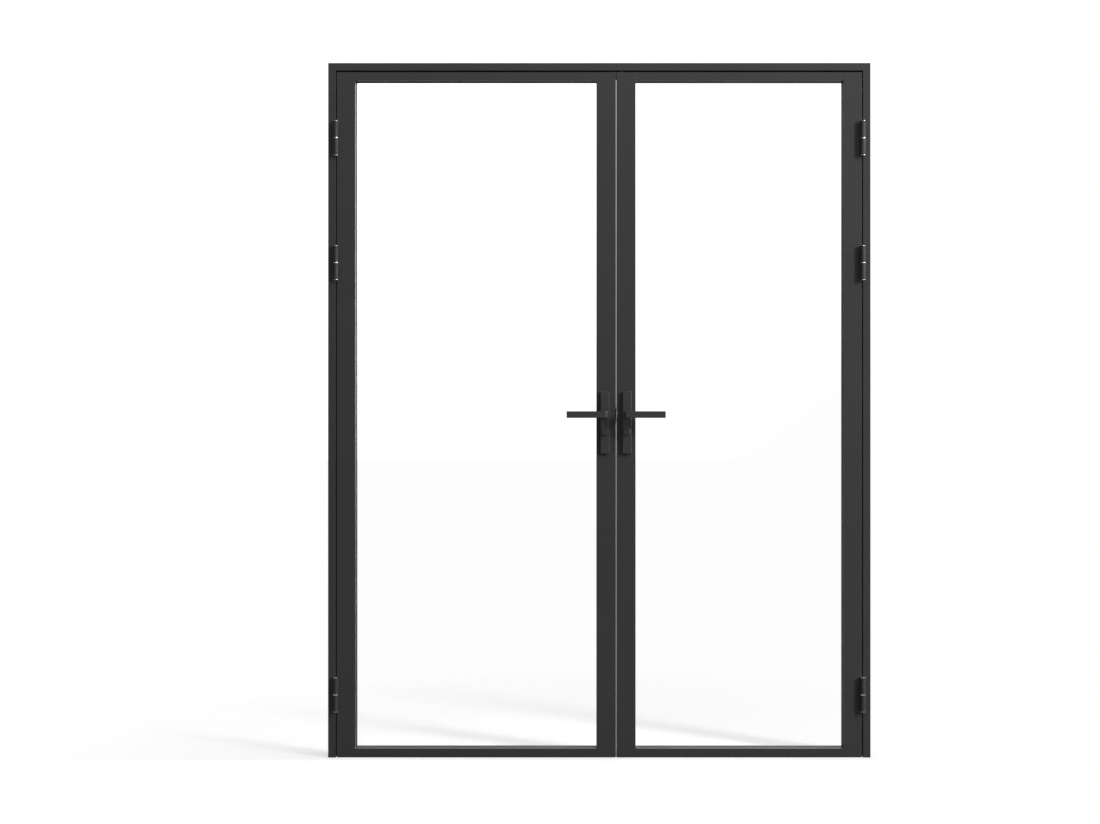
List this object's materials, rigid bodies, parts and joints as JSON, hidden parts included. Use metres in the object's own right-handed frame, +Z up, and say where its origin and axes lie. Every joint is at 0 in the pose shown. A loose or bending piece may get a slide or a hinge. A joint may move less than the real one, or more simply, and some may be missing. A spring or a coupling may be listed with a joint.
{
  "type": "french doors",
  "caption": "Glazed steel double doors of unequal width in a three-sided frame, with levers, thumb turns, lift-off hinges, a latch, a deadbolt and shoot rods.",
  "frame": {"origin": "on the floor, midway between the jambs' outer faces and in the middle of the leaves' depth", "axes": "+X to the right as seen from the hinge side, +Y from the hinge side through to the back, +Z up"},
  "size_m": [1.64, 0.166, 2.1],
  "materials": {
    "frame_coat": "matt powder coat, dark neutral grey, over folded steel",
    "leaf_coat": "matt powder coat, dark neutral grey, over folded steel",
    "bead_coat": "matt powder coat, dark neutral grey",
    "hinge_coat": "matt powder coat, dark neutral grey",
    "furniture_coat": "satin powder coat, dark neutral grey",
    "bright_steel": "bright steel",
    "zinc_steel": "zinc-plated steel",
    "dark_steel": "blackened steel",
    "brass_bush": "plain brass",
    "clear_glass": "clear float glass",
    "black_rubber": "matt black rubber",
    "packer_plastic": "moulded"
  },
  "bodies": {
    "frame": {"left_jamb": "frame_coat", "right_jamb": "frame_coat", "frame_head": "frame_coat", "frame_seal": "black_rubber", "head_bush": "brass_bush", "left_frame_hinge_halves": "hinge_coat", "right_frame_hinge_halves": "hinge_coat", "hinge_pins": "bright_steel", "hinge_washers": "bright_steel", "frame_hinge_screws": "zinc_steel"},
    "left_leaf": {"left_leaf_hinge_halves": "hinge_coat", "left_leaf_hinge_screws": "zinc_steel", "left_hinge_stile": "leaf_coat", "left_meeting_stile": "leaf_coat", "left_top_rail": "leaf_coat", "left_bottom_rail": "leaf_coat", "left_glass": "clear_glass", "left_glazing_seals": "black_rubber", "left_glazing_beads": "bead_coat", "left_setting_blocks": "packer_plastic", "left_front_plate": "furniture_coat", "left_back_plate": "furniture_coat", "left_plate_bolts": "dark_steel", "left_lock_case": "zinc_steel", "left_lock_faceplate": "bright_steel", "left_edge_screws": "zinc_steel"},
    "left_levers": {"left_front_lever": "furniture_coat", "left_back_lever": "furniture_coat", "left_lever_spindle": "zinc_steel", "left_follower": "dark_steel"},
    "left_turns": {"left_front_turn": "furniture_coat", "left_back_turn": "furniture_coat", "left_turn_cam": "dark_steel"},
    "left_latch": {"left_latch_bolt": "bright_steel"},
    "left_bolt": {"left_deadbolt": "bright_steel"},
    "right_leaf": {"right_leaf_hinge_halves": "hinge_coat", "right_leaf_hinge_screws": "zinc_steel", "right_hinge_stile": "leaf_coat", "right_meeting_stile": "leaf_coat", "right_top_rail": "leaf_coat", "right_bottom_rail": "leaf_coat", "right_glass": "clear_glass", "right_glazing_seals": "black_rubber", "right_glazing_beads": "bead_coat", "right_setting_blocks": "packer_plastic", "right_front_plate": "furniture_coat", "right_back_plate": "furniture_coat", "right_plate_bolts": "dark_steel", "right_lock_case": "zinc_steel", "right_lock_faceplate": "bright_steel", "right_edge_screws": "zinc_steel", "right_strike_plate": "bright_steel"},
    "right_levers": {"right_front_lever": "furniture_coat", "right_back_lever": "furniture_coat", "right_lever_spindle": "zinc_steel"},
    "right_turns": {"right_front_turn": "furniture_coat", "right_back_turn": "furniture_coat", "right_turn_crank": "dark_steel"},
    "right_rod_up": {"right_top_rod": "bright_steel"},
    "right_rod_down": {"right_bottom_rod": "bright_steel"}
  },
  "joints": [
    {"name": "left_leaf_swing", "type": "hinge", "parent": "frame", "child": "left_leaf", "pos_m": [-0.7955, -0.034, 0], "axis": [0, 0, -1], "range_deg": [0, 170]},
    {"name": "left_lever_press", "type": "hinge", "parent": "left_leaf", "child": "left_levers", "pos_m": [0.0171, 0, 1.037], "axis": [0, -1, 0], "range_deg": [0, 50], "stiffness_Nm_per_rad": 1.2, "springref_deg": -40.11},
    {"name": "left_turn", "type": "hinge", "parent": "left_leaf", "child": "left_turns", "pos_m": [0.0171, 0, 0.985], "axis": [0, 1, 0], "range_deg": [0, 90.5]},
    {"name": "right_leaf_swing", "type": "hinge", "parent": "frame", "child": "right_leaf", "pos_m": [0.7955, -0.034, 0], "axis": [0, 0, 1], "range_deg": [0, 170]},
    {"name": "right_lever_press", "type": "hinge", "parent": "right_leaf", "child": "right_levers", "pos_m": [0.0837, 0, 1.037], "axis": [0, 1, 0], "range_deg": [0, 50], "stiffness_Nm_per_rad": 1.2, "springref_deg": -40.11},
    {"name": "right_turn", "type": "hinge", "parent": "right_leaf", "child": "right_turns", "pos_m": [0.0837, 0, 0.985], "axis": [0, 1, 0], "range_deg": [0, 90.5]},
    {"name": "left_latch_draw", "type": "slide", "parent": "left_leaf", "child": "left_latch", "axis": [-1, 0, 0], "range_m": [0, 0.0101]},
    {"name": "left_bolt_throw", "type": "slide", "parent": "left_leaf", "child": "left_bolt", "axis": [1, 0, 0], "range_m": [0, 0.012]},
    {"name": "right_rod_up_throw", "type": "slide", "parent": "right_leaf", "child": "right_rod_up", "axis": [0, 0, 1], "range_m": [0, 0.01188]},
    {"name": "right_rod_down_throw", "type": "slide", "parent": "right_leaf", "child": "right_rod_down", "axis": [0, 0, -1], "range_m": [0, 0.012]}
  ],
  "couplings": [
    {"joint": "left_latch_draw", "follows": "left_lever_press", "m_per_rad": 0.011459},
    {"joint": "left_turn", "follows": "left_bolt_throw", "rad_per_m": 130.9},
    {"joint": "right_turn", "follows": "right_rod_up_throw", "rad_per_m": 132.23},
    {"joint": "right_rod_down_throw", "follows": "right_rod_up_throw", "ratio": 1}
  ]
}
